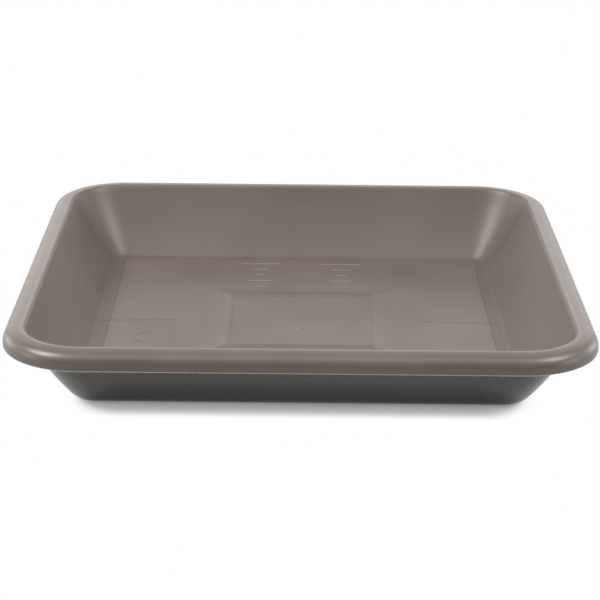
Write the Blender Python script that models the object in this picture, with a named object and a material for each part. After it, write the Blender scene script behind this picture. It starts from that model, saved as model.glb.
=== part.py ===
"""Square plant saucer: a shallow tray with sloping walls under a rolled rim.

The saucer is a thin shell. Its cross-section is worked out once, as stations of half-width, height and
corner radius, and each station is swept round a square with rounded corners.
The tray and the rolled rim are two solids that meet at a seam across the top of the wall.
Units are metres, +Z is up, and the origin is on the ground under the middle of the tray.
"""

import math

import bmesh
import bpy

MM = 0.001

# Driving dimensions: the whole saucer
WIDTH = 300.0 * MM                 # across the outside of the rim, both ways
HEIGHT = 40.7 * MM                 # ground to the crest of the rim
OUTER_CORNER_RADIUS = 41.5 * MM    # outside of the rim, seen from above
SHELL = 1.8 * MM                   # thickness of floor, wall and rim

# Driving dimensions: the wall
FLOOR_WIDTH = 227.2 * MM           # between opposite walls, taken down to the gutter unrounded
WALL_BOW = 1.6 * MM                # how far the wall bulges outwards from a straight slope

# Driving dimensions: the rolled rim
RIM_WIDTH = 11.3 * MM              # crest, taken up unrounded, to the outside of the skirt
CREST_RADIUS = 2.0 * MM            # rounding between the wall's inside and the rim's level top
ROLL_RADIUS = 6.5 * MM             # the roll from the level top down to the skirt
SKIRT_DROP = 2.9 * MM              # upright skirt below the roll
SEAM_DEPTH = 4.0 * MM              # crest down to the seam, measured along the wall
SEAM_GAP = 0.3 * MM                # between the tray's top edge and the rim

# Driving dimensions: the gutter round the floor, the floor and the foot
GUTTER_WIDTH = 6.4 * MM            # from the floor's edge to the wall, taken down unrounded
GUTTER_DEPTH = 0.4 * MM            # from the floor's edge down into the gutter
GUTTER_FILLET = 5.0 * MM           # hollow rounding from the gutter into the wall
GUTTER_CORNER_RADIUS = 10.5 * MM   # corners where the gutter meets the wall, seen from above
FLOOR_CORNER_RADIUS = 3.0 * MM     # corners of the floor and of the hollow under it, seen from above
FLOOR_RISE = 1.4 * MM              # the floor climbs this much from its edge to the centre square
STEP_RUN = 0.15 * MM               # how far the steep sides of gutter and foot lean
FOOT_ROUNDING = 12.0 * MM          # outside, from the ground up into the wall
FOOT_WIDTH = 5.0 * MM              # flat ring that the saucer stands on

# Driving dimensions: the low ridges on the floor
SQUARE_WIDTH = 78.7 * MM           # centre square, between the middles of its ridges
SQUARE_RIDGE_WIDTH = 2.2 * MM      # at the foot of the ridge
SQUARE_RIDGE_TOP = 1.0 * MM        # flat top of the ridge
SQUARE_CORNER_RADIUS = 0.4 * MM    # inside of the square's ridge, seen from above
LINE_RIDGE_WIDTH = 1.2 * MM        # the ridges on the diagonals and in the middle of two sides
SIDE_RIDGE_LENGTH = 44.0 * MM      # a side's ridge, inwards from the foot of the wall
RIDGE_HEIGHT = 0.4 * MM            # above the floor
GUTTER_RIDGE_HEIGHT = 0.3 * MM     # above the gutter, where a side's ridge crosses it
RIDGE_ROOT = 0.3 * MM              # how deep a ridge is let into what it stands on

# Fineness of the round stretches
CORNER_STEPS = 10
FILLET_STEPS = 6
WALL_STEPS = 4
CREST_STEPS = 4
ROLL_STEPS = 8

# Moulded plastic, a warm grey-brown (linear colour) with a satin surface
PLASTIC_COLOUR = (0.205, 0.180, 0.158, 1.0)
PLASTIC_ROUGHNESS = 0.42
SMOOTH_ANGLE = math.radians(30)

# The wall's inside is an arc from the floor's corner to the crest's corner
FLOOR_HALF = FLOOR_WIDTH / 2
CREST_HALF = WIDTH / 2 - RIM_WIDTH
WALL_RUN = CREST_HALF - FLOOR_HALF
WALL_CLIMB = HEIGHT - SHELL
WALL_CHORD = math.hypot(WALL_RUN, WALL_CLIMB)
WALL_RADIUS = (WALL_CHORD ** 2 / 4 + WALL_BOW ** 2) / (2 * WALL_BOW)
CHORD_TO_CENTRE = WALL_RADIUS - WALL_BOW
WALL_CENTRE_U = (FLOOR_HALF + CREST_HALF) / 2 - CHORD_TO_CENTRE * WALL_CLIMB / WALL_CHORD
WALL_CENTRE_Z = (SHELL + HEIGHT) / 2 + CHORD_TO_CENTRE * WALL_RUN / WALL_CHORD
WALL_CENTRE = (WALL_CENTRE_U, WALL_CENTRE_Z)

# Angles about the wall's centre, and the wall's slope at the crest
CREST_ANGLE = math.atan2(HEIGHT - WALL_CENTRE_Z, CREST_HALF - WALL_CENTRE_U)
CREST_SLOPE = CREST_ANGLE + math.pi / 2
CREST_TANGENT = CREST_RADIUS * math.tan(CREST_SLOPE / 2)
CREST_CORNER_RADIUS = OUTER_CORNER_RADIUS - RIM_WIDTH

SQUARE_INSIDE = (SQUARE_WIDTH - SQUARE_RIDGE_WIDTH) / 2
SQUARE_OUTSIDE = (SQUARE_WIDTH + SQUARE_RIDGE_WIDTH) / 2

FLOOR_EDGE = FLOOR_HALF - GUTTER_WIDTH
FLOOR_EDGE_Z = SHELL + GUTTER_DEPTH
SQUARE_FLOOR_Z = FLOOR_EDGE_Z + FLOOR_RISE


def clear_scene():
    for existing in list(bpy.data.objects):
        bpy.data.objects.remove(existing, do_unlink=True)


def steps_between(start, end, count):
    """Evenly spaced values from start to end, both included."""
    return [start + (end - start) * step / count for step in range(count + 1)]


def wall_corner_radius(u):
    """Plan radius of the wall's corners at half-width u: they open from the gutter to the crest."""
    share = (u - FLOOR_HALF) / (CREST_HALF - FLOOR_HALF)
    return GUTTER_CORNER_RADIUS + (CREST_CORNER_RADIUS - GUTTER_CORNER_RADIUS) * share


def wall_station(u, z):
    """A station of the wall, its fillet or the foot's rounding."""
    return u, z, wall_corner_radius(u)


def arc_station(centre, radius, angle):
    """A station on an arc of the cross-section."""
    return wall_station(centre[0] + radius * math.cos(angle), centre[1] + radius * math.sin(angle))


def wall_stations(level, rounding, wall_radius, depth):
    """From a level, round an arc that runs smoothly into the wall, and up to a depth below the crest."""
    centre_z = level + rounding
    fall = WALL_CENTRE_Z - centre_z
    reach = math.sqrt((wall_radius - rounding) ** 2 - fall ** 2)
    centre = (WALL_CENTRE_U + reach, centre_z)
    wall_start = math.atan2(-fall, reach)
    wall_end = CREST_ANGLE - depth / WALL_RADIUS
    stations = []
    for angle in steps_between(-math.pi / 2, wall_start, FILLET_STEPS):
        stations.append(arc_station(centre, rounding, angle))
    for angle in steps_between(wall_start, wall_end, WALL_STEPS)[1:]:
        stations.append(arc_station(WALL_CENTRE, wall_radius, angle))
    return stations


def inside_wall_stations(depth):
    """The wall's inside, up from the gutter."""
    return wall_stations(SHELL, GUTTER_FILLET, WALL_RADIUS, depth)


def outside_wall_stations(depth):
    """The wall's outside, up from the ground."""
    return wall_stations(0.0, FOOT_ROUNDING, WALL_RADIUS + SHELL, depth)


def rim_station(u, z):
    """A station of the rim, whose corners share the centres of the rim's outside corners."""
    return u, z, OUTER_CORNER_RADIUS - (WIDTH / 2 - u)


def square_station(u, z):
    """A station of the centre square's ridge, whose corners share their centres."""
    return u, z, SQUARE_CORNER_RADIUS + (u - SQUARE_INSIDE)


def floor_height(u):
    """Height of the floor's top at half-width u, between the centre square and the floor's edge."""
    share = (FLOOR_EDGE - u) / (FLOOR_EDGE - SQUARE_OUTSIDE)
    return FLOOR_EDGE_Z + FLOOR_RISE * share


def crest_stations():
    """Round the wall's inside over into the level top of the rim."""
    centre_u = CREST_HALF + CREST_TANGENT
    centre_z = HEIGHT - CREST_RADIUS
    stations = []
    for turn in steps_between(CREST_SLOPE, 0, CREST_STEPS):
        u = centre_u - CREST_RADIUS * math.sin(turn)
        z = centre_z + CREST_RADIUS * math.cos(turn)
        stations.append(rim_station(u, z))
    return stations


def roll_stations(through):
    """Quarter circle from the rim's level top and then the skirt, outside or through the shell."""
    centre_u = WIDTH / 2 - ROLL_RADIUS
    centre_z = HEIGHT - ROLL_RADIUS
    radius = ROLL_RADIUS - through
    stations = []
    for turn in steps_between(0, math.pi / 2, ROLL_STEPS):
        stations.append(rim_station(centre_u + radius * math.sin(turn), centre_z + radius * math.cos(turn)))
    stations.append(rim_station(WIDTH / 2 - through, centre_z - SKIRT_DROP))
    return stations


def under_crest_station():
    """The sharp inner corner below the crest, where the wall's outside meets the rim's underside."""
    rise = HEIGHT - SHELL - WALL_CENTRE_Z
    angle = math.asin(rise / (WALL_RADIUS + SHELL))
    return arc_station(WALL_CENTRE, WALL_RADIUS + SHELL, angle)


def floor_station(u, z):
    """A station at the edge of the floor or of the hollow under it."""
    return u, z, FLOOR_CORNER_RADIUS


def tray_stations():
    """Cross-section of the tray, from the middle of its inside round to the middle of its underside."""
    ridge_z = SQUARE_FLOOR_Z + RIDGE_HEIGHT
    outside = outside_wall_stations(SEAM_DEPTH)
    foot_inside = outside[0][0] - FOOT_WIDTH
    hollow_edge = foot_inside - STEP_RUN
    stations = [
        square_station(SQUARE_INSIDE, SQUARE_FLOOR_Z),
        square_station((SQUARE_WIDTH - SQUARE_RIDGE_TOP) / 2, ridge_z),
        square_station((SQUARE_WIDTH + SQUARE_RIDGE_TOP) / 2, ridge_z),
        square_station(SQUARE_OUTSIDE, SQUARE_FLOOR_Z),
        floor_station(FLOOR_EDGE, FLOOR_EDGE_Z),
        floor_station(FLOOR_EDGE + STEP_RUN, SHELL),
    ]
    stations += inside_wall_stations(SEAM_DEPTH)
    stations += reversed(outside)
    stations.append(floor_station(foot_inside, 0.0))
    stations.append(floor_station(hollow_edge, floor_height(hollow_edge) - SHELL))
    stations.append(square_station(SQUARE_OUTSIDE, SQUARE_FLOOR_Z - SHELL))
    return stations


def rim_stations():
    """Cross-section of the rolled rim: up the inside, over the roll, down the skirt and back under."""
    seat = SEAM_DEPTH - SEAM_GAP
    stations = inside_wall_stations(seat)[-1:]
    stations += crest_stations()
    stations += roll_stations(0)
    stations += reversed(roll_stations(SHELL))
    stations.append(under_crest_station())
    stations += outside_wall_stations(seat)[-1:]
    return stations


def ring(half, z, radius):
    """Points round a square of the given half-width whose corners are rounded to radius."""
    reach = (half - radius) * math.sqrt(2)
    points = []
    for quarter in range(4):
        start = quarter * math.pi / 2
        centre_x = reach * math.cos(start + math.pi / 4)
        centre_y = reach * math.sin(start + math.pi / 4)
        for angle in steps_between(start, start + math.pi / 2, CORNER_STEPS):
            x = centre_x + radius * math.cos(angle)
            y = centre_y + radius * math.sin(angle)
            points.append((x, y, z))
    return points


def add_object(name, bm):
    """Turn a bmesh into an object with its faces pointing out."""
    bmesh.ops.recalc_face_normals(bm, faces=bm.faces)
    mesh = bpy.data.meshes.new(name)
    bm.to_mesh(mesh)
    bm.free()
    added = bpy.data.objects.new(name, mesh)
    bpy.context.scene.collection.objects.link(added)
    return added


def join_sections(bm, first, second):
    """Quads between two loops of the same number of points."""
    for k in range(len(first)):
        after = (k + 1) % len(first)
        bm.faces.new((first[k], first[after], second[after], second[k]))


def sweep(name, stations, is_loop):
    """Sweep a cross-section round the square. An open section is closed by its first and last rings."""
    bm = bmesh.new()
    rings = [[bm.verts.new(point) for point in ring(*station)] for station in stations]
    for first, second in zip(rings, rings[1:]):
        join_sections(bm, first, second)
    if is_loop:
        join_sections(bm, rings[-1], rings[0])
    else:
        bm.faces.new(rings[0])
        bm.faces.new(reversed(rings[-1]))
    return add_object(name, bm)


def moulded_plastic(name):
    material = bpy.data.materials.new(name)
    material.use_nodes = True
    shader = material.node_tree.nodes["Principled BSDF"]
    shader.inputs["Base Color"].default_value = PLASTIC_COLOUR
    shader.inputs["Roughness"].default_value = PLASTIC_ROUGHNESS
    shader.inputs["Metallic"].default_value = 0.0
    return material


def finish_object(moulding):
    """Give a moulding its material and smooth shading that keeps the real edges."""
    moulding.data.materials.append(moulded_plastic(moulding.name + "_plastic"))
    moulding.data.shade_smooth()
    moulding.data.set_sharp_from_angle(angle=SMOOTH_ANGLE)


def floor_ridge_path():
    """A side's ridge on the floor, out to the floor's edge."""
    start = FLOOR_HALF - SIDE_RIDGE_LENGTH
    end = FLOOR_EDGE - STEP_RUN
    return [(u, floor_height(u) + RIDGE_HEIGHT) for u in (start, end)]


def gutter_ridge_path():
    """The same ridge across the gutter, from inside the floor to inside the foot of the wall."""
    start = FLOOR_EDGE - LINE_RIDGE_WIDTH
    end = FLOOR_HALF - LINE_RIDGE_WIDTH / 2
    return [(u, SHELL + GUTTER_RIDGE_HEIGHT) for u in (start, end)]


def diagonal_ridge_path():
    """From the corner of the centre square nearly to the corner of the floor, measured on the diagonal."""
    start = SQUARE_WIDTH / 2
    end = FLOOR_EDGE - LINE_RIDGE_WIDTH
    return [(u * math.sqrt(2), floor_height(u) + RIDGE_HEIGHT) for u in (start, end)]


def add_bar(bm, path, height, angle):
    """A ridge of the given height, whose top follows a path of (distance, z) in the direction of angle."""
    half = LINE_RIDGE_WIDTH / 2
    root = -height - RIDGE_ROOT
    outline = ((-half, root), (half, root), (half, 0), (-half, 0))
    sections = []
    for distance, z in path:
        section = []
        for side, lift in outline:
            x = distance * math.cos(angle) - side * math.sin(angle)
            y = distance * math.sin(angle) + side * math.cos(angle)
            section.append(bm.verts.new((x, y, z + lift)))
        sections.append(section)
    for first, second in zip(sections, sections[1:]):
        join_sections(bm, first, second)
    bm.faces.new(sections[0])
    bm.faces.new(reversed(sections[-1]))


def build_floor_ridges():
    """The ridges on the diagonals and on two sides, a guide that is joined onto the tray's floor."""
    bm = bmesh.new()
    for angle in (0, math.pi):
        add_bar(bm, floor_ridge_path(), RIDGE_HEIGHT, angle)
        add_bar(bm, gutter_ridge_path(), GUTTER_RIDGE_HEIGHT, angle)
    for quarter in range(4):
        add_bar(bm, diagonal_ridge_path(), RIDGE_HEIGHT, math.pi / 4 + quarter * math.pi / 2)
    ridges = add_object("floor_ridges", bm)
    ridges.hide_render = True
    ridges.display_type = "WIRE"
    return ridges


def build_tray():
    tray = sweep("tray", tray_stations(), is_loop=False)
    join = tray.modifiers.new("join_floor_ridges", "BOOLEAN")
    join.operation = "UNION"
    join.solver = "EXACT"
    join.object = build_floor_ridges()
    finish_object(tray)


def build_rolled_rim():
    rim = sweep("rolled_rim", rim_stations(), is_loop=True)
    finish_object(rim)


clear_scene()
build_tray()
build_rolled_rim()
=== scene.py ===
"""Looks of a square plant saucer: one polypropylene moulding, on a white studio floor.

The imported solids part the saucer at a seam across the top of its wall. The real saucer has no seam, so one
unbroken moulding stands for both solids. It keeps their cross-section, with finer steps, and adds what
they leave out: round edges, softer ridges, a slight arch on the rim's top and the small moulding marks on
the floor.
Units are metres, +Z is up, and the photograph is taken from the -Y side.
"""

import math

import bmesh
import bpy
from mathutils import Matrix, Vector


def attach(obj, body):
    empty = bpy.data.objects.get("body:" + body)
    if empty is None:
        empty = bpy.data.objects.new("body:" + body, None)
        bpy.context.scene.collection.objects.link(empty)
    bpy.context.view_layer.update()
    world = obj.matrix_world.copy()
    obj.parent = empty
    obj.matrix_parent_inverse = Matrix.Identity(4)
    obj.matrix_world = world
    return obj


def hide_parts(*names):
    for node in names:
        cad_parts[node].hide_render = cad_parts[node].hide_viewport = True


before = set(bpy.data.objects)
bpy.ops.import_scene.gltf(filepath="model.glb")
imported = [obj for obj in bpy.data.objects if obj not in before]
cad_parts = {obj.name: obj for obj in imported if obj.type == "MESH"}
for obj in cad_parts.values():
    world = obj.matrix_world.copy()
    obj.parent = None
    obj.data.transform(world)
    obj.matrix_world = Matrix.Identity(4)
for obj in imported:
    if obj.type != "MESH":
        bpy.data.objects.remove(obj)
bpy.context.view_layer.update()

MM = 0.001

# The saucer's own sizes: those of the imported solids, apart from the crown and the square ridge's top
WIDTH = 300.0 * MM                 # across the outside of the rim, both ways
HEIGHT = 40.7 * MM                 # ground to the crest of the rim
OUTER_CORNER_RADIUS = 41.5 * MM    # outside of the rim, seen from above
SHELL = 1.8 * MM                   # thickness of floor, wall and rim
FLOOR_WIDTH = 227.2 * MM           # between opposite walls, taken down to the gutter unrounded
WALL_BOW = 1.6 * MM                # how far the wall bulges outwards from a straight slope
RIM_WIDTH = 11.3 * MM              # crest, taken up unrounded, to the outside of the skirt
CREST_RADIUS = 2.0 * MM            # rounding between the wall's inside and the rim's top
CROWN_RADIUS = 24.0 * MM           # arch of the rim's top, which is level in the solids
ROLL_RADIUS = 6.5 * MM             # the roll from the rim's top down to the skirt
SKIRT_DROP = 2.9 * MM              # upright skirt below the roll
GUTTER_WIDTH = 6.4 * MM            # sunk band round the floor, out to the wall taken down unrounded
GUTTER_DEPTH = 0.4 * MM            # from the edge of the floor down into the gutter
GUTTER_FILLET = 5.0 * MM           # hollow rounding from the gutter into the wall
GUTTER_CORNER_RADIUS = 10.5 * MM   # corners where the gutter meets the wall, seen from above
FLOOR_CORNER_RADIUS = 3.0 * MM     # corners of the floor and of the hollow under it, seen from above
STEP_RUN = 0.15 * MM               # how far the steep sides of gutter and foot lean
FLOOR_RISE = 1.4 * MM              # the floor climbs this much from its edge to the centre square
FOOT_ROUNDING = 12.0 * MM          # outside, from the ground up into the wall
FOOT_WIDTH = 5.0 * MM              # flat ring that the saucer stands on
SQUARE_WIDTH = 78.7 * MM           # centre square, between the middles of its ridges
SQUARE_RIDGE_WIDTH = 2.2 * MM      # at the foot of the ridge
SQUARE_RIDGE_TOP = 1.4 * MM        # flat top of the ridge, wider than in the solids for steeper sides
SQUARE_CORNER_RADIUS = 0.4 * MM    # inside of the square's ridge, seen from above
LINE_RIDGE_WIDTH = 1.2 * MM        # the ridges on the diagonals and in the middle of two sides
SIDE_RIDGE_LENGTH = 44.0 * MM      # a side's ridge, inwards from where it ends on the wall
RIDGE_HEIGHT = 0.4 * MM            # above the floor
GUTTER_RIDGE_HEIGHT = 0.3 * MM     # above the gutter, where a side's ridge crosses it

# Moulding marks on the floor: all plain, with nothing to read
MARK_SINK = 0.2 * MM               # how far a mark's foot is let into the floor
MARK_ROUNDING = math.radians(75)   # how far a mark's upper edge is rounded over
DIAL_HEIGHT = 0.12 * MM            # above the floor, and so are the two heights below
BAR_HEIGHT = 0.4 * MM
GATE_HEIGHT = 0.3 * MM
DIAL_CENTRE = (-83.5 * MM, -27.0 * MM)
DIAL_RADIUS = 7.5 * MM
DIAL_LINE = 0.9 * MM
DIAL_TICKS = 12
DIAL_TICK_LENGTH = 2.2 * MM
BAR_GROUP_CENTRES = ((-24.0 * MM, 78.0 * MM), (25.0 * MM, 78.0 * MM))
BAR_GROUP_DEPTH = 44.0 * MM
BAR_LENGTH = 24.0 * MM
BAR_SHARES = (0.35, 0.6, 0.25, 0.45, 1.0)  # of that length, from the front bar to the rear one
BAR_WIDTH = 1.6 * MM
GATE_PLACE = (-1.7 * MM, -15.0 * MM)
GATE_RADIUS = 1.6 * MM

# Polypropylene: one warm grey, in four finishes of the same tool
SATIN_COLOURS = ("#625851", "#6a6059")     # rim, inside of the wall and gutter: darkest and palest tint
ETCHED_COLOURS = ("#675e57", "#6f665f")    # the floor, paler because its coarser grain scatters more light
SHADED_OUTSIDE_COLOURS = ("#302d2b", "#383532")  # outside below the rim: painted shade, the plastic coloured dark where the rim's overhang shades it
SATIN_ROUGHNESS = 0.43
ETCHED_ROUGHNESS = 0.40
POLISHED_ROUGHNESS = 0.26
SMOOTH_ROUGHNESS = 0.33            # the rim, a little smoother than the wall
ROUGHNESS_SPREAD = 0.04            # either way, from grain to grain
GLOSS = 0.5                        # plain plastic
PLASTIC_IOR = 1.49
CLOUD_SIZE = 55.0 * MM             # slow drift of the colour
CLOUD_DETAIL = 2
STREAK_WIDTH = 0.12                # flow streaks, as a share of their distance from the gate
STREAK_DETAIL = 2
RIPPLE_SIZE = 38.0 * MM            # waviness from shrinking
RIPPLE_DETAIL = 1
RIPPLE_DEPTH = 0.12 * MM
GRAIN_SIZE = 0.6 * MM              # about four times coarser than the real grain, which is too fine to show
GRAIN_DETAIL = 3
GRAIN_DEPTH = 0.012 * MM
STREAK_SHARE = 0.12                # of the tint, the rest is clouds
GRAIN_SHARE = 0.25                 # of the tint
TINT_SPAN = (0.35, 0.65)           # where the noises mostly lie
SATIN = 0                          # places of the four finishes on the moulding
ETCHED = 1
POLISHED_AND_SHADED = 2
SMOOTH = 3
HIGHLIGHT_MARK = "painted_highlight"                 # marks the painted highlights: edges and mark tops coloured paler than the rest of the plastic
# colour of the painted highlights
HIGHLIGHT_COLOUR = "#d2c8be"
SKIRT_HIGHLIGHT = 1.0                   # painted highlight, full, along the skirt's lower edge
CREST_HIGHLIGHT = 0.12                  # painted highlight, faint, along the crest of the rim
MARK_HIGHLIGHT = 0.14                   # painted highlight on the tops of the floor marks

# The studio: a white paper floor and a white backdrop, lit by softboxes
PAPER_COLOUR = "#bcbcbc"           # as it throws light back up: it is seen as plain white
PAPER_ROUGHNESS = 0.9
PAPER_HALF = 4.0                   # half the sheet's width
PAPER_DROP = 0.1 * MM              # below the saucer's foot
CONTACT_REACH = 20.0 * MM          # how far the shadow at the saucer's foot spreads
SIDE_LEAN = 2.0                    # how far the light on the paper leans to the left and the right
CONTACT_TONES = (                  # share of the light that reaches the paper, and how pale it is there
    (0.0, 0.0),
    (0.40, 0.235),
    (0.62, 0.45),
    (0.80, 1.0),
)
FILL_LIGHT = 0.05                  # what the white room adds to the softboxes
BACKDROP_TOP = 0.45                # sine of the height at which the backdrop ends in reflections
BACKDROP_BLUR = 0.15               # how soft its edges are
CEILING_LEVEL = 0.4                # the room above the backdrop, in reflections
SOFTBOX_DISTANCE = 1.3
SOFTBOXES = (    # bearing from the right towards the rear and height (degrees), width, brightness
    ("right_side", 30, 10, 0.5, 3.0),
    ("backdrop_right", 65, 16, 0.5, 0.8),
    ("backdrop_left", 115, 16, 0.5, 0.8),
    ("left_side", 150, 10, 0.5, 3.0),
    ("left_key", -168, 51, 0.5, 17.5),
    ("left_low", -163, 14, 0.5, 3.5),
    ("left_front", -140, 48, 0.5, 1.5),
    ("top", -90, 70, 0.8, 1.5),
    ("right_front", -40, 48, 0.5, 1.2),
    ("right_low", -17, 14, 0.5, 3.5),
    ("right_key", -15, 52, 0.5, 11.5),
)

# Fineness of the round stretches
CORNER_STEPS = 32
SIDE_STEPS = 10
RIDGE_STEPS = 8
SQUARE_RIDGE_STEPS = 22
FLOOR_STEPS = 6
FILLET_STEPS = 16
WALL_STEPS = 16
CREST_STEPS = 10
CROWN_STEPS = 6
ROLL_STEPS = 24
EDGE_STEPS = 16
SKIRT_HIGHLIGHT_STEPS = 9                     # of the edge's steps, from its outside to its lowest line, that get the painted highlight
CREST_HIGHLIGHT_STEPS = 5                # of the crest's steps, up to its highest line, that get the painted highlight
CROWN_HIGHLIGHT_STEPS = 3                # of the crown's steps, on from there, that get the painted highlight
MARK_STEPS = 8
SMOOTH_ANGLE = math.radians(40)

# The camera, found by laying the saucer's outline over the photograph
CAMERA_PLACE = (-4.30 * MM, -998.78 * MM, 378.31 * MM)
CAMERA_PITCH = math.radians(19.971)
CAMERA_YAW = math.radians(0.239)
CAMERA_ROLL = math.radians(0.651)
CAMERA_LENS = 113.45
CAMERA_SENSOR = 36.0

# The wall's inside is an arc from the floor's corner to the crest's corner
FLOOR_HALF = FLOOR_WIDTH / 2
CREST_HALF = WIDTH / 2 - RIM_WIDTH
WALL_RUN = CREST_HALF - FLOOR_HALF
WALL_CLIMB = HEIGHT - SHELL
WALL_CHORD = math.hypot(WALL_RUN, WALL_CLIMB)
WALL_RADIUS = (WALL_CHORD ** 2 / 4 + WALL_BOW ** 2) / (2 * WALL_BOW)
CHORD_TO_CENTRE = WALL_RADIUS - WALL_BOW
WALL_CENTRE_U = (FLOOR_HALF + CREST_HALF) / 2 - CHORD_TO_CENTRE * WALL_CLIMB / WALL_CHORD
WALL_CENTRE_Z = (SHELL + HEIGHT) / 2 + CHORD_TO_CENTRE * WALL_RUN / WALL_CHORD
WALL_CENTRE = (WALL_CENTRE_U, WALL_CENTRE_Z)

# Angles about the wall's centre, and the wall's slope at the crest
CREST_ANGLE = math.atan2(HEIGHT - WALL_CENTRE_Z, CREST_HALF - WALL_CENTRE_U)
CREST_SLOPE = CREST_ANGLE + math.pi / 2
CREST_TANGENT = CREST_RADIUS * math.tan(CREST_SLOPE / 2)
CREST_CORNER_RADIUS = OUTER_CORNER_RADIUS - RIM_WIDTH
CREST_START = CREST_ANGLE - CREST_TANGENT / WALL_RADIUS
CROWN_START_U = CREST_HALF + CREST_TANGENT
CROWN_TURN = math.asin((WIDTH / 2 - ROLL_RADIUS - CROWN_START_U) / (CROWN_RADIUS - ROLL_RADIUS))
UNDER_CREST = math.asin((HEIGHT - SHELL - WALL_CENTRE_Z) / (WALL_RADIUS + SHELL))

SQUARE_INSIDE = (SQUARE_WIDTH - SQUARE_RIDGE_WIDTH) / 2
SQUARE_OUTSIDE = (SQUARE_WIDTH + SQUARE_RIDGE_WIDTH) / 2
FLOOR_EDGE = FLOOR_HALF - GUTTER_WIDTH
FLOOR_EDGE_Z = SHELL + GUTTER_DEPTH
SQUARE_FLOOR_Z = FLOOR_EDGE_Z + FLOOR_RISE
SIDE_RIDGE_START = FLOOR_HALF - SIDE_RIDGE_LENGTH


def steps_between(start, end, count):
    """Evenly spaced values from start to end, both included."""
    return [start + (end - start) * step / count for step in range(count + 1)]


def hump(share):
    """A smooth rise and fall, 1 in the middle and 0 from one unit away on either side."""
    return (1 + math.cos(math.pi * min(abs(share), 1))) / 2


def wall_corner_radius(u):
    """Plan radius of the wall's corners at half-width u: they open from the gutter to the crest."""
    share = (u - FLOOR_HALF) / (CREST_HALF - FLOOR_HALF)
    return GUTTER_CORNER_RADIUS + (CREST_CORNER_RADIUS - GUTTER_CORNER_RADIUS) * share


def wall_station(u, z):
    return u, z, wall_corner_radius(u)


def arc_stations(centre, radius, angles):
    """Stations along an arc of the cross-section."""
    places = [(centre[0] + radius * math.cos(a), centre[1] + radius * math.sin(a)) for a in angles]
    return [wall_station(u, z) for u, z in places]


def rim_station(u, z):
    """A station of the rim, whose corners share the centres of the rim's outside corners."""
    return u, z, OUTER_CORNER_RADIUS - (WIDTH / 2 - u)


def square_station(u, z):
    """A station of the centre square's ridge, whose corners share their centres."""
    return u, z, SQUARE_CORNER_RADIUS + (u - SQUARE_INSIDE)


def floor_height(u):
    """Height of the floor's top at half-width u: level in the centre square, then falling to its edge."""
    share = (FLOOR_EDGE - u) / (FLOOR_EDGE - SQUARE_OUTSIDE)
    return FLOOR_EDGE_Z + FLOOR_RISE * min(share, 1)


def floor_station(u, z):
    """A station at the edge of the floor or of the hollow under it."""
    return u, z, FLOOR_CORNER_RADIUS


def square_ridge_lift(u):
    """Height of the centre square's ridge at half-width u: a flat top and steep sides with soft edges."""
    side = (SQUARE_RIDGE_WIDTH - SQUARE_RIDGE_TOP) / 2
    past_top = abs(u - SQUARE_WIDTH / 2) - SQUARE_RIDGE_TOP / 2
    return RIDGE_HEIGHT * hump(max(past_top, 0) / side)


def square_ridge_stations():
    """Over the ridge round the centre square, from a level strip that keeps the square's shading flat."""
    stations = [(SQUARE_INSIDE - SQUARE_RIDGE_WIDTH, SQUARE_FLOOR_Z, SQUARE_CORNER_RADIUS)]
    for u in steps_between(SQUARE_INSIDE, SQUARE_OUTSIDE, SQUARE_RIDGE_STEPS):
        stations.append(square_station(u, SQUARE_FLOOR_Z + square_ridge_lift(u)))
    return stations


def floor_stations():
    """Down the floor from the centre square to its edge, closer together where the side ridges start."""
    side_start = [SIDE_RIDGE_START + LINE_RIDGE_WIDTH * share for share in (-1, -0.5, 0)]
    evenly = steps_between(SQUARE_OUTSIDE, FLOOR_EDGE - STEP_RUN, FLOOR_STEPS)[1:-1]
    square_radius = SQUARE_CORNER_RADIUS + SQUARE_RIDGE_WIDTH
    stations = []
    for u in sorted(evenly + side_start):
        share = (u - SQUARE_OUTSIDE) / (FLOOR_EDGE - SQUARE_OUTSIDE)
        radius = square_radius + (FLOOR_CORNER_RADIUS - square_radius) * share
        stations.append((u, floor_height(u), radius))
    return stations


def floor_edge_stations():
    """Over the floor's edge, which is barely rounded."""
    stations = []
    for turn in steps_between(0, math.pi / 2, RIDGE_STEPS):
        u = FLOOR_EDGE - STEP_RUN * (1 - math.sin(turn))
        z = FLOOR_EDGE_Z - STEP_RUN * (1 - math.cos(turn))
        stations.append(floor_station(u, z))
    return stations


def wall_with_rounding(level, rounding, wall_radius, top_angle):
    """From a level, round an arc that runs smoothly into the wall, and up the wall."""
    centre_z = level + rounding
    fall = WALL_CENTRE_Z - centre_z
    reach = math.sqrt((wall_radius - rounding) ** 2 - fall ** 2)
    centre = (WALL_CENTRE_U + reach, centre_z)
    wall_start = math.atan2(-fall, reach)
    stations = arc_stations(centre, rounding, steps_between(-math.pi / 2, wall_start, FILLET_STEPS))
    stations += arc_stations(WALL_CENTRE, wall_radius, steps_between(wall_start, top_angle, WALL_STEPS))[1:]
    return stations


def rim_arc(centre_u, centre_z, radius, turns):
    """Stations along an arc of the rim. A turn of 0 is straight up, and a quarter turn is outwards."""
    places = [(centre_u + radius * math.sin(turn), centre_z + radius * math.cos(turn)) for turn in turns]
    return [rim_station(u, z) for u, z in places]


def crest_stations():
    """Round the wall's inside over into the top of the rim."""
    turns = steps_between(-CREST_SLOPE, 0, CREST_STEPS)
    return rim_arc(CROWN_START_U, HEIGHT - CREST_RADIUS, CREST_RADIUS, turns)


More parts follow.
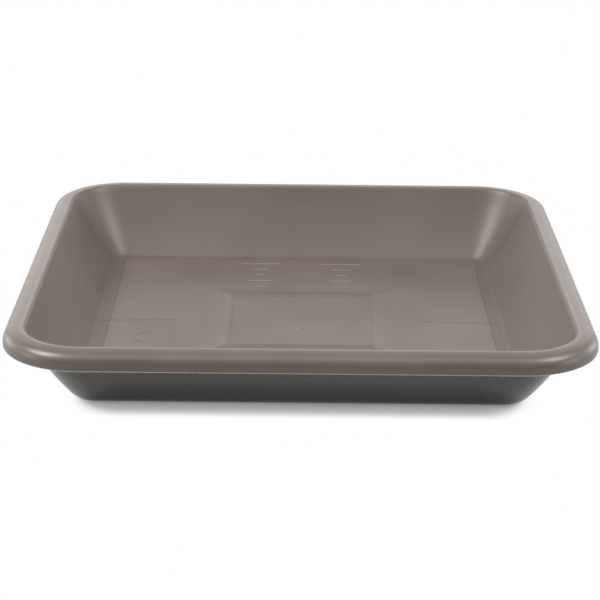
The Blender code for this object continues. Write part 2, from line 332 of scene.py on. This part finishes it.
def crown_stations():
    """Over the rim's slightly arched top and smoothly down the roll to the skirt."""
    crown_z = HEIGHT - CROWN_RADIUS
    roll_z = crown_z + (CROWN_RADIUS - ROLL_RADIUS) * math.cos(CROWN_TURN)
    crown = rim_arc(CROWN_START_U, crown_z, CROWN_RADIUS, steps_between(0, CROWN_TURN, CROWN_STEPS))
    roll_turns = steps_between(CROWN_TURN, math.pi / 2, ROLL_STEPS)
    roll = rim_arc(WIDTH / 2 - ROLL_RADIUS, roll_z, ROLL_RADIUS, roll_turns)
    return crown[1:] + roll[1:]


def skirt_edge_stations():
    """Round the lower edge of the skirt, from its outside to its inside."""
    radius = SHELL / 2
    edge_z = HEIGHT - ROLL_RADIUS - SKIRT_DROP + radius
    turns = steps_between(math.pi / 2, 3 * math.pi / 2, EDGE_STEPS)
    return rim_arc(WIDTH / 2 - radius, edge_z, radius, turns)


def under_roll_stations():
    """Up the inside of the skirt and back under the rim's top."""
    turns = steps_between(math.pi / 2, 0, ROLL_STEPS)
    return rim_arc(WIDTH / 2 - ROLL_RADIUS, HEIGHT - ROLL_RADIUS, ROLL_RADIUS - SHELL, turns)


def etched_stations():
    """The floor's top, from the centre square out to the rounded edge of the gutter."""
    return square_ridge_stations() + floor_stations() + floor_edge_stations()


def inside_wall_stations():
    """Down the steep side of the gutter, then up the wall to the crest."""
    stations = [floor_station(FLOOR_EDGE + STEP_RUN, SHELL)]
    stations += wall_with_rounding(SHELL, GUTTER_FILLET, WALL_RADIUS, CREST_START)
    stations += crest_stations()[1:]
    return stations


def underside_stations():
    """From the skirt's inside back under the rim, down the wall's outside and under the floor."""
    wall = wall_with_rounding(0.0, FOOT_ROUNDING, WALL_RADIUS + SHELL, UNDER_CREST)
    foot_inside = wall[0][0] - FOOT_WIDTH
    hollow_edge = foot_inside - STEP_RUN
    stations = under_roll_stations()
    stations += reversed(wall)
    stations.append(floor_station(foot_inside, 0.0))
    stations.append(floor_station(hollow_edge, floor_height(hollow_edge) - SHELL))
    stations.append(square_station(SQUARE_OUTSIDE, SQUARE_FLOOR_Z - SHELL))
    return stations


def ring(half, z, radius):
    """Points round a square of the given half-width whose corners are rounded to radius."""
    straight = half - radius
    evenly = steps_between(-straight, straight, SIDE_STEPS)[1:-1]
    along = [place for place in evenly if abs(place) > LINE_RIDGE_WIDTH]
    along += steps_between(-LINE_RIDGE_WIDTH, LINE_RIDGE_WIDTH, 2 * RIDGE_STEPS)
    points = []
    for quarter in range(4):
        turn = Matrix.Rotation(quarter * math.pi / 2, 3, "Z")
        for place in sorted(along):
            points.append(turn @ Vector((half, place, z)))
        for angle in steps_between(0, math.pi / 2, CORNER_STEPS):
            corner = Vector((straight + radius * math.cos(angle), straight + radius * math.sin(angle), z))
            points.append(turn @ corner)
    return points


def line_ridge_lift(point):
    """How far the ridges on the diagonals and on two sides lift a point of the tray's inside."""
    across, along = abs(point.y), abs(point.x)
    if SIDE_RIDGE_START - LINE_RIDGE_WIDTH / 2 < along < CREST_HALF and across < LINE_RIDGE_WIDTH / 2:
        on_floor = along < FLOOR_EDGE
        top = floor_height(along) + RIDGE_HEIGHT if on_floor else SHELL + GUTTER_RIDGE_HEIGHT
        return max(top - point.z, 0) * hump(across / (LINE_RIDGE_WIDTH / 2))
    off_diagonal = abs(along - across) / math.sqrt(2)
    if SQUARE_WIDTH / 2 < min(along, across) and max(along, across) < FLOOR_EDGE - LINE_RIDGE_WIDTH:
        return RIDGE_HEIGHT * hump(off_diagonal / (LINE_RIDGE_WIDTH / 2))
    return 0.0


def add_face(bm, corners, finish):
    face = bm.faces.new(corners)
    face.material_index = finish


def join_loops(bm, loops, finish):
    """Quads between each loop of points and the next one."""
    for first, second in zip(loops, loops[1:]):
        for k in range(len(first)):
            after = (k + 1) % len(first)
            add_face(bm, (first[k], first[after], second[after], second[k]), finish)


def add_loop(bm, points):
    return [bm.verts.new(point) for point in points]


def add_loops(bm, stations):
    return [add_loop(bm, ring(*station)) for station in stations]


def add_ridged_loop(bm, station):
    """A loop of the tray's inside, lifted where a ridge crosses it."""
    points = ring(*station)
    for point in points:
        point.z += line_ridge_lift(point)
    return add_loop(bm, points)


def mark_painted_highlight(bm, loop, highlight):
    """Mark how much painted highlight a loop gets, from 0 to 1."""
    layer = bm.verts.layers.float[HIGHLIGHT_MARK]
    for vertex in loop:
        vertex[layer] = highlight


def mark_painted_highlight_edge(bm, loops, highlight):
    """Paint a highlight along an edge, strongest in the middle of its loops."""
    for k, loop in enumerate(loops):
        mark_painted_highlight(bm, loop, highlight * hump(2 * k / (len(loops) - 1) - 1))


def add_shell(bm):
    """The whole moulding as one closed shell, with the ridges drawn into its floor."""
    floor = [add_ridged_loop(bm, station) for station in etched_stations()]
    inside = [add_ridged_loop(bm, station) for station in inside_wall_stations()]
    rim = add_loops(bm, crown_stations())
    skirt_edge = add_loops(bm, skirt_edge_stations())
    underside = add_loops(bm, underside_stations())
    # Painted highlights in a pale colour: faint along the rim's crest, full along the skirt's lower edge
    mark_painted_highlight_edge(bm, inside[-CREST_HIGHLIGHT_STEPS:] + rim[:CROWN_HIGHLIGHT_STEPS], CREST_HIGHLIGHT)
    mark_painted_highlight_edge(bm, skirt_edge[:SKIRT_HIGHLIGHT_STEPS], SKIRT_HIGHLIGHT)
    join_loops(bm, floor, ETCHED)
    join_loops(bm, floor[-1:] + inside, SATIN)
    join_loops(bm, inside[-1:] + rim + skirt_edge, SMOOTH)
    # The outside below the rim: polished, and painted dark as shade
    join_loops(bm, skirt_edge[-1:] + underside, POLISHED_AND_SHADED)
    add_face(bm, floor[0], ETCHED)
    add_face(bm, list(reversed(underside[-1])), POLISHED_AND_SHADED)


def pill(centre, length, radius, angle, z):
    """Points round a bar with half-round ends: a circle where its length is nothing."""
    turn = Matrix.Rotation(angle, 3, "Z")
    points = []
    for end in (1, -1):
        for step in steps_between(-math.pi / 2, math.pi / 2, MARK_STEPS):
            x = end * (length / 2 + radius * math.cos(step))
            y = end * radius * math.sin(step)
            points.append(turn @ Vector((x, y, 0)) + Vector((centre[0], centre[1], z)))
    return points


def add_raised_bar(bm, centre, length, width, height, angle):
    """A low bar on the floor, with its upper edge rounded right over."""
    ground = floor_height(max(abs(centre[0]), abs(centre[1])))
    loops = [add_loop(bm, pill(centre, length, width / 2, angle, ground - MARK_SINK))]
    for turn in steps_between(0, MARK_ROUNDING, MARK_STEPS // 2):
        radius = width / 2 * math.cos(turn)
        z = ground + height * math.sin(turn)
        loops.append(add_loop(bm, pill(centre, length, radius, angle, z)))
    # Painted highlight: the upper half of the bar is coloured paler
    for loop in loops[len(loops) // 2:]:
        mark_painted_highlight(bm, loop, MARK_HIGHLIGHT)
    join_loops(bm, loops, ETCHED)
    add_face(bm, list(reversed(loops[0])), ETCHED)
    add_face(bm, loops[-1], ETCHED)


def add_round_line(bm, centre, radius, width, height):
    """A raised line in a circle, half round in section."""
    ground = floor_height(max(abs(centre[0]), abs(centre[1])))
    loops = []
    for turn in steps_between(0, math.pi, MARK_STEPS):
        line_radius = radius + width / 2 * math.cos(turn)
        z = ground + height * math.sin(turn)
        loops.append(add_loop(bm, pill(centre, 0, line_radius, 0, z)))
    for side in (-1, 1):
        loops.append(add_loop(bm, pill(centre, 0, radius + side * width / 2, 0, ground - MARK_SINK)))
    loops.append(loops[0])
    join_loops(bm, loops, ETCHED)


def add_blank_dial(bm):
    """A moulder's dial with its ticks and nothing else on it."""
    add_round_line(bm, DIAL_CENTRE, DIAL_RADIUS, DIAL_LINE, DIAL_HEIGHT)
    tick_radius = DIAL_RADIUS - DIAL_LINE - DIAL_TICK_LENGTH / 2
    for tick in range(DIAL_TICKS):
        angle = tick * 2 * math.pi / DIAL_TICKS
        x = DIAL_CENTRE[0] + tick_radius * math.cos(angle)
        y = DIAL_CENTRE[1] + tick_radius * math.sin(angle)
        add_raised_bar(bm, (x, y), DIAL_TICK_LENGTH - DIAL_LINE, DIAL_LINE, DIAL_HEIGHT, angle)


def add_plain_bars(bm):
    """Two groups of plain level bars near the rear of the floor."""
    for x, y in BAR_GROUP_CENTRES:
        offsets = steps_between(-BAR_GROUP_DEPTH / 2, BAR_GROUP_DEPTH / 2, len(BAR_SHARES) - 1)
        for share, offset in zip(BAR_SHARES, offsets):
            add_raised_bar(bm, (x, y + offset), share * BAR_LENGTH - BAR_WIDTH, BAR_WIDTH, BAR_HEIGHT, 0)


def linear(hex_colour):
    """A colour written as sRGB hex, as linear red, green, blue and alpha."""
    channels = [int(hex_colour[k:k + 2], 16) / 255 for k in (1, 3, 5)]
    return [c / 12.92 if c <= 0.04045 else ((c + 0.055) / 1.055) ** 2.4 for c in channels] + [1.0]


def add_node(tree, kind, settings=None, inputs=None):
    """Add a node with its own settings, and set its inputs or link them to other nodes' outputs."""
    node = tree.nodes.new(kind)
    for name, value in (settings or {}).items():
        setattr(node, name, value)
    for name, value in (inputs or {}).items():
        if isinstance(value, bpy.types.NodeSocket):
            tree.links.new(value, node.inputs[name])
        else:
            node.inputs[name].default_value = value
    return node


def add_noise(tree, vector, size, detail):
    """Soft noise whose lumps are about the given size, as a value from 0 to 1."""
    inputs = {"Vector": vector, "Scale": 1 / size, "Detail": detail}
    return add_node(tree, "ShaderNodeTexNoise", None, inputs).outputs["Fac"]


def set_stops(ramp, stops):
    """Give a colour ramp its stops, each a place along the ramp and a linear colour."""
    elements = ramp.color_ramp.elements
    while len(elements) < len(stops):
        elements.new(1.0)
    for element, (share, colour) in zip(elements, stops):
        element.position = share
        element.color = colour


def flow_direction(tree, place):
    """The direction from the gate to each place, which is the same all along a flow streak."""
    from_gate = {0: place, 1: (GATE_PLACE[0], GATE_PLACE[1], 0.0)}
    out = add_node(tree, "ShaderNodeVectorMath", {"operation": "SUBTRACT"}, from_gate)
    level = {0: out.outputs[0], 1: (1.0, 1.0, 0.0)}
    flat = add_node(tree, "ShaderNodeVectorMath", {"operation": "MULTIPLY"}, level)
    unit = add_node(tree, "ShaderNodeVectorMath", {"operation": "NORMALIZE"}, {0: flat.outputs[0]})
    return unit.outputs[0]


def moulded_polypropylene(name, colours, roughness):
    """Polypropylene, injection moulded against a tool finished to the given roughness.

    The eye sees an even skin whose sheen grows towards the edges. Under it the colour is a little cloudy,
    with faint streaks where the plastic flowed out from the gate, and paler as a painted highlight along the
    rim's crest, the skirt's lower edge and the tops of the floor marks. The skin has a fine grain and the
    slow waviness of plastic that has shrunk.
    """
    material = bpy.data.materials.new(name)
    material.use_nodes = True
    tree = material.node_tree
    place = add_node(tree, "ShaderNodeTexCoord").outputs["Object"]
    clouds = add_noise(tree, place, CLOUD_SIZE, CLOUD_DETAIL)
    streaks = add_noise(tree, flow_direction(tree, place), STREAK_WIDTH, STREAK_DETAIL)
    grain = add_noise(tree, place, GRAIN_SIZE, GRAIN_DETAIL)
    ripples = add_noise(tree, place, RIPPLE_SIZE, RIPPLE_DETAIL)

    tint = add_node(tree, "ShaderNodeMix", None, {"Factor": STREAK_SHARE, "A": clouds, "B": streaks})
    tint = add_node(tree, "ShaderNodeMix", None, {"Factor": GRAIN_SHARE, "A": tint.outputs[0], "B": grain})
    ramp = add_node(tree, "ShaderNodeValToRGB", None, {"Fac": tint.outputs[0]})
    set_stops(ramp, [(share, linear(colour)) for share, colour in zip(TINT_SPAN, colours)])
    # The painted highlight: a paler colour on the marked edges and mark tops
    painted_highlight = add_node(tree, "ShaderNodeAttribute", {"attribute_name": HIGHLIGHT_MARK}).outputs["Fac"]
    edge = {"Fac": painted_highlight, "Color1": ramp.outputs["Color"], "Color2": linear(HIGHLIGHT_COLOUR)}
    tinted = add_node(tree, "ShaderNodeMixRGB", None, edge)

    spread = {"Value": grain, "From Min": TINT_SPAN[0], "From Max": TINT_SPAN[1]}
    spread.update({"To Min": roughness - ROUGHNESS_SPREAD, "To Max": roughness + ROUGHNESS_SPREAD})
    sheen = add_node(tree, "ShaderNodeMapRange", None, spread)
    waves = add_node(tree, "ShaderNodeBump", None, {"Height": ripples, "Distance": RIPPLE_DEPTH})
    bumps = {"Height": grain, "Distance": GRAIN_DEPTH, "Normal": waves.outputs["Normal"]}
    skin = add_node(tree, "ShaderNodeBump", None, bumps)

    shader = tree.nodes["Principled BSDF"]
    shader.inputs["IOR"].default_value = PLASTIC_IOR
    shader.inputs["Specular IOR Level"].default_value = GLOSS
    tree.links.new(tinted.outputs["Color"], shader.inputs["Base Color"])
    tree.links.new(sheen.outputs["Result"], shader.inputs["Roughness"])
    tree.links.new(skin.outputs["Normal"], shader.inputs["Normal"])
    return material


def build_saucer():
    """The moulding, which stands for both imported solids."""
    bm = bmesh.new()
    bm.verts.layers.float.new(HIGHLIGHT_MARK)
    add_shell(bm)
    add_blank_dial(bm)
    add_plain_bars(bm)
    add_raised_bar(bm, GATE_PLACE, 0, 2 * GATE_RADIUS, GATE_HEIGHT, 0)
    bmesh.ops.recalc_face_normals(bm, faces=bm.faces)
    mesh = bpy.data.meshes.new("saucer_moulding")
    bm.to_mesh(mesh)
    bm.free()
    finishes = (
        ("satin_polypropylene", SATIN_COLOURS, SATIN_ROUGHNESS),
        ("etched_polypropylene", ETCHED_COLOURS, ETCHED_ROUGHNESS),
        # the outside below the rim: polished, and coloured dark as painted shade
        ("polished_polypropylene_painted_shade", SHADED_OUTSIDE_COLOURS, POLISHED_ROUGHNESS),
        ("smooth_polypropylene", SATIN_COLOURS, SMOOTH_ROUGHNESS),
    )
    for finish in finishes:
        mesh.materials.append(moulded_polypropylene(*finish))
    mesh.shade_smooth()
    mesh.set_sharp_from_angle(angle=SMOOTH_ANGLE)
    saucer = bpy.data.objects.new("saucer_moulding", mesh)
    bpy.context.scene.collection.objects.link(saucer)
    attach(saucer, "root")
    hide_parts("tray", "rolled_rim")


def seen_rays(tree):
    """1 for what is seen directly, in a reflection or through glass, and 0 for light that is gathered."""
    path = add_node(tree, "ShaderNodeLightPath")
    seen = path.outputs["Is Camera Ray"]
    for ray in ("Is Glossy Ray", "Is Transmission Ray"):
        either = {0: seen, 1: path.outputs[ray]}
        seen = add_node(tree, "ShaderNodeMath", {"operation": "MAXIMUM"}, either).outputs[0]
    return seen


def light_from(tree, lean):
    """Share of the light from one side that reaches the paper past the saucer."""
    towards = Vector((lean, 0, 1)).normalized()
    facing = add_node(tree, "ShaderNodeCombineXYZ", None, {"X": towards.x, "Z": towards.z})
    inputs = {"Distance": CONTACT_REACH, "Normal": facing.outputs["Vector"]}
    return add_node(tree, "ShaderNodeAmbientOcclusion", None, inputs).outputs["AO"]


def white_paper():
    """Matt white paper, seen as plain white with a soft shadow where the saucer stands over it.

    In that shadow it also throws less light back up at the saucer.
    """
    material = bpy.data.materials.new("white_paper")
    material.use_nodes = True
    tree = material.node_tree
    paper = tree.nodes["Principled BSDF"]
    paper.inputs["Roughness"].default_value = PAPER_ROUGHNESS
    paper.inputs["Specular IOR Level"].default_value = 0.0
    left, right = (light_from(tree, lean) for lean in (-SIDE_LEAN, SIDE_LEAN))
    open_share = add_node(tree, "ShaderNodeMath", {"operation": "MAXIMUM"}, {0: left, 1: right})
    shade = add_node(tree, "ShaderNodeValToRGB", None, {"Fac": open_share.outputs[0]})
    set_stops(shade, [(share, (tone, tone, tone, 1.0)) for share, tone in CONTACT_TONES])
    tones = {"Fac": 1.0, "Color1": shade.outputs["Color"], "Color2": linear(PAPER_COLOUR)}
    bounce = add_node(tree, "ShaderNodeMixRGB", {"blend_type": "MULTIPLY"}, tones)
    tree.links.new(bounce.outputs["Color"], paper.inputs["Base Color"])
    white = add_node(tree, "ShaderNodeEmission", None, {"Color": shade.outputs["Color"], "Strength": 1.0})
    seen = {0: seen_rays(tree), 1: paper.outputs["BSDF"], 2: white.outputs["Emission"]}
    surface = add_node(tree, "ShaderNodeMixShader", None, seen)
    tree.links.new(surface.outputs["Shader"], tree.nodes["Material Output"].inputs["Surface"])
    return material


def build_studio_floor():
    """A sheet of white paper under the saucer."""
    bm = bmesh.new()
    bmesh.ops.create_grid(bm, x_segments=1, y_segments=1, size=PAPER_HALF)
    mesh = bpy.data.meshes.new("studio_floor")
    bm.to_mesh(mesh)
    bm.free()
    mesh.materials.append(white_paper())
    floor = bpy.data.objects.new("studio_floor", mesh)
    floor.location.z = -PAPER_DROP
    bpy.context.scene.collection.objects.link(floor)


def build_camera():
    """The photograph's own viewpoint."""
    data = bpy.data.cameras.new("camera")
    data.lens = CAMERA_LENS
    data.sensor_width = CAMERA_SENSOR
    camera = bpy.data.objects.new("camera", data)
    heading = Matrix.Rotation(-CAMERA_YAW, 4, "Z")
    tilt = Matrix.Rotation(math.pi / 2 - CAMERA_PITCH, 4, "X")
    roll = Matrix.Rotation(CAMERA_ROLL, 4, "Z")
    camera.matrix_world = Matrix.Translation(CAMERA_PLACE) @ heading @ tilt @ roll
    bpy.context.scene.collection.objects.link(camera)
    bpy.context.scene.camera = camera


def backdrop_level(tree):
    """The room as a reflection shows it: a white backdrop at the rear, less above it, dark in front."""
    direction = add_node(tree, "ShaderNodeTexCoord").outputs["Generated"]
    parts = add_node(tree, "ShaderNodeSeparateXYZ", None, {"Vector": direction})
    behind = {"Value": parts.outputs["Y"], "From Min": -BACKDROP_BLUR, "From Max": BACKDROP_BLUR}
    behind = add_node(tree, "ShaderNodeMapRange", None, behind)
    above = {"Value": parts.outputs["Z"], "From Min": BACKDROP_TOP, "To Min": 1.0}
    above.update({"From Max": BACKDROP_TOP + BACKDROP_BLUR, "To Max": CEILING_LEVEL})
    above = add_node(tree, "ShaderNodeMapRange", None, above)
    both = {0: behind.outputs["Result"], 1: above.outputs["Result"]}
    return add_node(tree, "ShaderNodeMath", {"operation": "MULTIPLY"}, both).outputs[0]


def build_world():
    """A room: plain white to the camera, the backdrop in reflections, and a faint fill of light."""
    world = bpy.data.worlds.new("white_room")
    world.use_nodes = True
    tree = world.node_tree
    path = add_node(tree, "ShaderNodeLightPath")
    levels = {"Factor": seen_rays(tree), "A": FILL_LIGHT, "B": backdrop_level(tree)}
    gathered = add_node(tree, "ShaderNodeMix", None, levels).outputs[0]
    levels = {"Factor": path.outputs["Is Camera Ray"], "A": gathered, "B": 1.0}
    strength = add_node(tree, "ShaderNodeMix", None, levels).outputs[0]
    background = tree.nodes["Background"]
    background.inputs["Color"].default_value = (1, 1, 1, 1)
    tree.links.new(strength, background.inputs["Strength"])
    bpy.context.scene.world = world


def build_softboxes():
    """Square softboxes round the saucer, all facing it."""
    for name, bearing, height, width, brightness in SOFTBOXES:
        level = math.cos(math.radians(height))
        towards = Vector((
            level * math.cos(math.radians(bearing)),
            level * math.sin(math.radians(bearing)),
            math.sin(math.radians(height)),
        ))
        data = bpy.data.lights.new(name, "AREA")
        data.shape = "SQUARE"
        data.size = width
        data.energy = brightness * math.pi * width ** 2
        softbox = bpy.data.objects.new(name, data)
        facing = towards.to_track_quat("Z", "Y").to_matrix().to_4x4()
        softbox.matrix_world = Matrix.Translation(towards * SOFTBOX_DISTANCE) @ facing
        bpy.context.scene.collection.objects.link(softbox)


build_saucer()
build_studio_floor()
build_world()
build_softboxes()
build_camera()
bpy.context.scene.view_settings.view_transform = "Standard"
